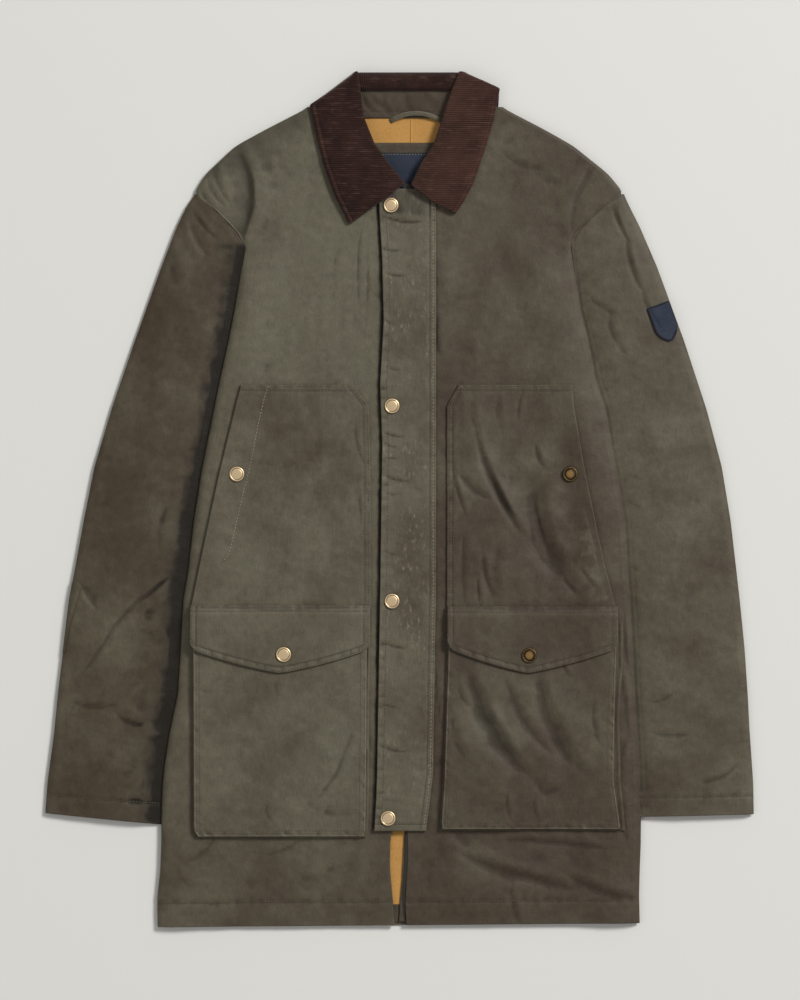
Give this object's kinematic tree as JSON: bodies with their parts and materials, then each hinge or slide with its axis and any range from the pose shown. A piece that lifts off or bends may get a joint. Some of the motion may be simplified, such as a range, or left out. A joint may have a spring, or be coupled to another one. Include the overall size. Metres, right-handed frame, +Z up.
{
  "type": "waxed cotton jacket",
  "caption": "Thigh-length waxed cotton coat laid flat, with corduroy collar, storm flap over a zip, bellows pockets, hand-warmer pockets and snap caps",
  "frame": {"origin": "bottom centre of the bounding box: the middle of the jacket, on the surface it lies on", "axes": "+Z is up off the surface, out of the jacket's front; +Y runs from the hem to the collar; +X is to the right as the front is seen"},
  "size_m": [0.766, 0.924, 0.0177],
  "materials": {
    "waxed_cotton": "olive-brown waxed cotton, matt with a soft waxy sheen and uneven darker and lighter patches",
    "corduroy": "dark brown needle corduroy",
    "lining": "plain mustard cotton",
    "navy_label": "woven navy",
    "zip_tape": "woven dark tape",
    "brass": "antique brass, darkened in the recesses"
  },
  "bodies": {
    "root": {"back": "waxed_cotton", "front_right": "waxed_cotton", "front_left": "waxed_cotton", "storm_flap": "waxed_cotton", "hem_facing_right": "waxed_cotton", "hem_facing_left": "waxed_cotton", "back_lining": "lining", "zip_tape": "zip_tape", "sleeve_upper_right": "waxed_cotton", "sleeve_under_right": "waxed_cotton", "sleeve_upper_left": "waxed_cotton", "sleeve_under_left": "waxed_cotton", "hand_warmer_right": "waxed_cotton", "hand_warmer_left": "waxed_cotton", "bellows_pocket_right": "waxed_cotton", "bellows_pocket_left": "waxed_cotton", "pocket_flap_right": "waxed_cotton", "pocket_flap_left": "waxed_cotton", "collar_leaf_right": "corduroy", "collar_leaf_left": "corduroy", "collar_roll": "corduroy", "collar_fall": "corduroy", "collar_stand": "waxed_cotton", "label_backing": "waxed_cotton", "neck_label": "navy_label", "hanger_loop": "waxed_cotton", "sleeve_patch": "navy_label", "elbow_patch_right": "waxed_cotton", "snap_placket_1": "brass", "snap_placket_2": "brass", "snap_placket_3": "brass", "snap_placket_4": "brass", "snap_hand_warmer_right": "brass", "snap_hand_warmer_left": "brass", "snap_pocket_right": "brass", "snap_pocket_left": "brass"}
  },
  "joints": []
}
